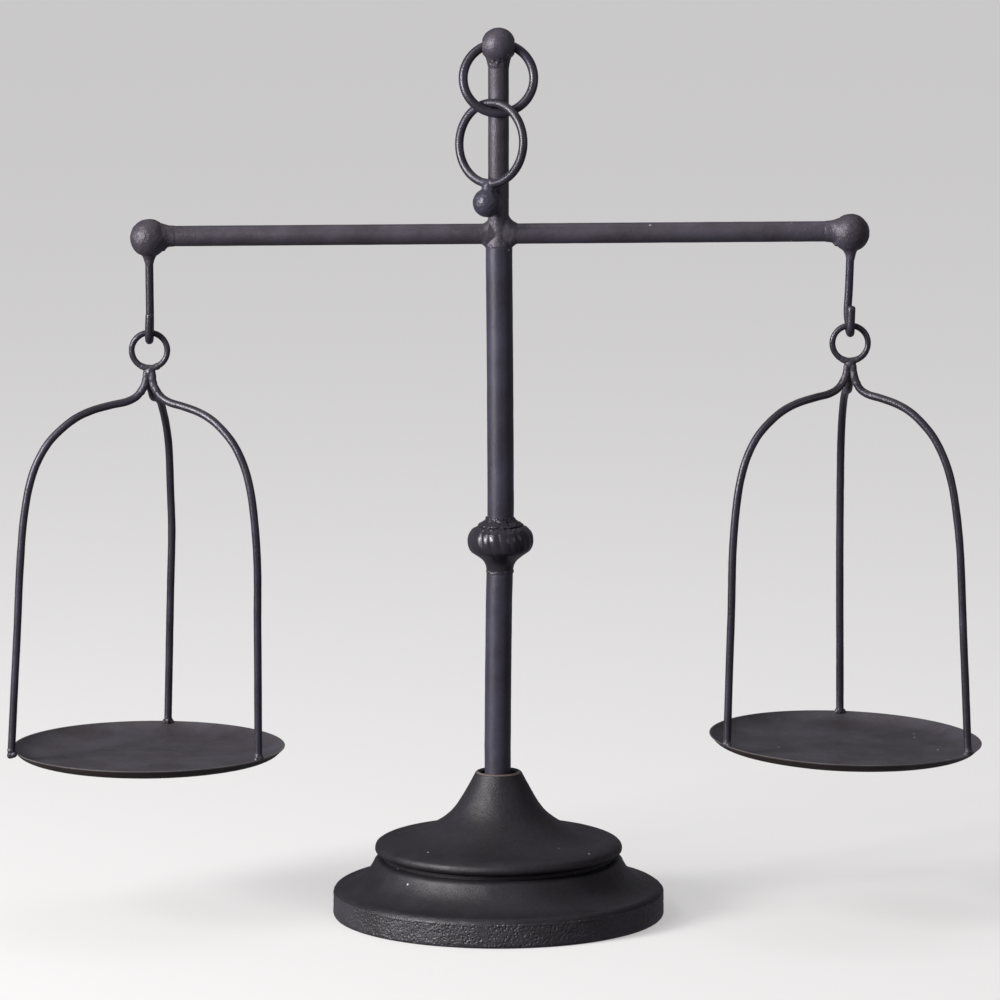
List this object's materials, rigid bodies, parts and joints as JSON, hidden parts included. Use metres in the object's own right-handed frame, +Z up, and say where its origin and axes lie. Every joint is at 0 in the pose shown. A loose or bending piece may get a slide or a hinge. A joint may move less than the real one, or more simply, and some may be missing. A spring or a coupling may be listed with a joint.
{
  "type": "decorative balance scale",
  "caption": "Tabletop balance-scale ornament in blackened iron: fixed beam on a turned base, a hanging shallow pan on each side, and loose rings with a small ball at the top.",
  "frame": {"origin": "centre of the base's underside, on the surface that the scale stands on", "axes": "+X to the right along the beam, +Y to the back, +Z up"},
  "size_m": [0.5893, 0.2016, 0.5405],
  "materials": {
    "cast_iron": "satin black paint over rough casting",
    "post_iron": "satin blackened paint on tube",
    "rod_iron": "satin blackened paint on rod and balls",
    "wire_iron": "satin blackened paint on wire",
    "pan_iron": "matt blackened paint on pressed sheet",
    "plain_steel": "zinc plated fasteners"
  },
  "bodies": {
    "stand": {"base_foot": "cast_iron", "base_bell": "cast_iron", "tie_rod": "plain_steel", "tie_washer": "plain_steel", "tie_nut": "plain_steel", "lower_post": "post_iron", "fluted_bead": "post_iron", "upper_post": "post_iron", "post_plug": "plain_steel", "mast": "rod_iron", "finial_ball": "rod_iron", "left_arm": "rod_iron", "left_end_ball": "rod_iron", "right_arm": "rod_iron", "right_end_ball": "rod_iron", "left_hook": "wire_iron", "right_hook": "wire_iron"},
    "left_pan": {"left_pan_ring": "wire_iron", "left_hanger_back": "wire_iron", "left_hanger_outer": "wire_iron", "left_hanger_inner": "wire_iron", "left_pan": "pan_iron"},
    "right_pan": {"right_pan_ring": "wire_iron", "right_hanger_back": "wire_iron", "right_hanger_outer": "wire_iron", "right_hanger_inner": "wire_iron", "right_pan": "pan_iron"},
    "upper_ring": {"upper_ring": "wire_iron"},
    "lower_ring": {"lower_ring": "wire_iron", "pendant_ball": "rod_iron"}
  },
  "joints": [
    {"name": "left_pan_swing", "type": "hinge", "parent": "stand", "child": "left_pan", "pos_m": [-0.2098, -0.005, 0.35295], "axis": [0, 1, 0], "range_deg": [-30, 45]},
    {"name": "right_pan_swing", "type": "hinge", "parent": "stand", "child": "right_pan", "pos_m": [0.2114, -0.005, 0.3573], "axis": [0, -1, 0], "range_deg": [-30, 45]},
    {"name": "upper_ring_swing", "type": "hinge", "parent": "stand", "child": "upper_ring", "pos_m": [0, 0, 0.5298], "axis": [-1, 0, 0], "range_deg": [0, 110]},
    {"name": "lower_ring_slide", "type": "hinge", "parent": "upper_ring", "child": "lower_ring", "pos_m": [0, -0.00491, 0.51066], "axis": [0, 0.9687, -0.2484], "range_deg": [0, 90]}
  ]
}
